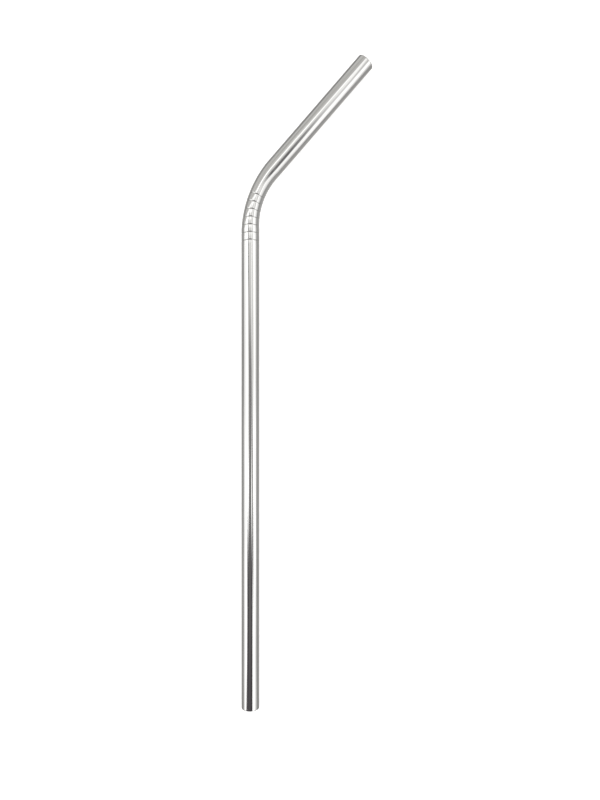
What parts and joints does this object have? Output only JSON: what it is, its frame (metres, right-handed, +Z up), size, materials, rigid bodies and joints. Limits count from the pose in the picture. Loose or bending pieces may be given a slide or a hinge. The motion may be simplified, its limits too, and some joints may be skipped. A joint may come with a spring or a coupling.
{
  "type": "drinking straw",
  "caption": "Bent drinking straw: one polished steel tube with rings rolled in at the bend, a long leg to stand in a drink and a short leg to sip from.",
  "frame": {"origin": "under the middle of the straw's outline, on the surface that it lies on", "axes": "+Y along the long leg from its foot to the bend, +X to the side that the short leg bends to, +Z up"},
  "size_m": [0.044, 0.219, 0.006],
  "materials": {
    "stainless_steel": "polished drawn steel with fine lengthwise lines"
  },
  "bodies": {
    "root": {"straw_tube": "stainless_steel"}
  },
  "joints": []
}
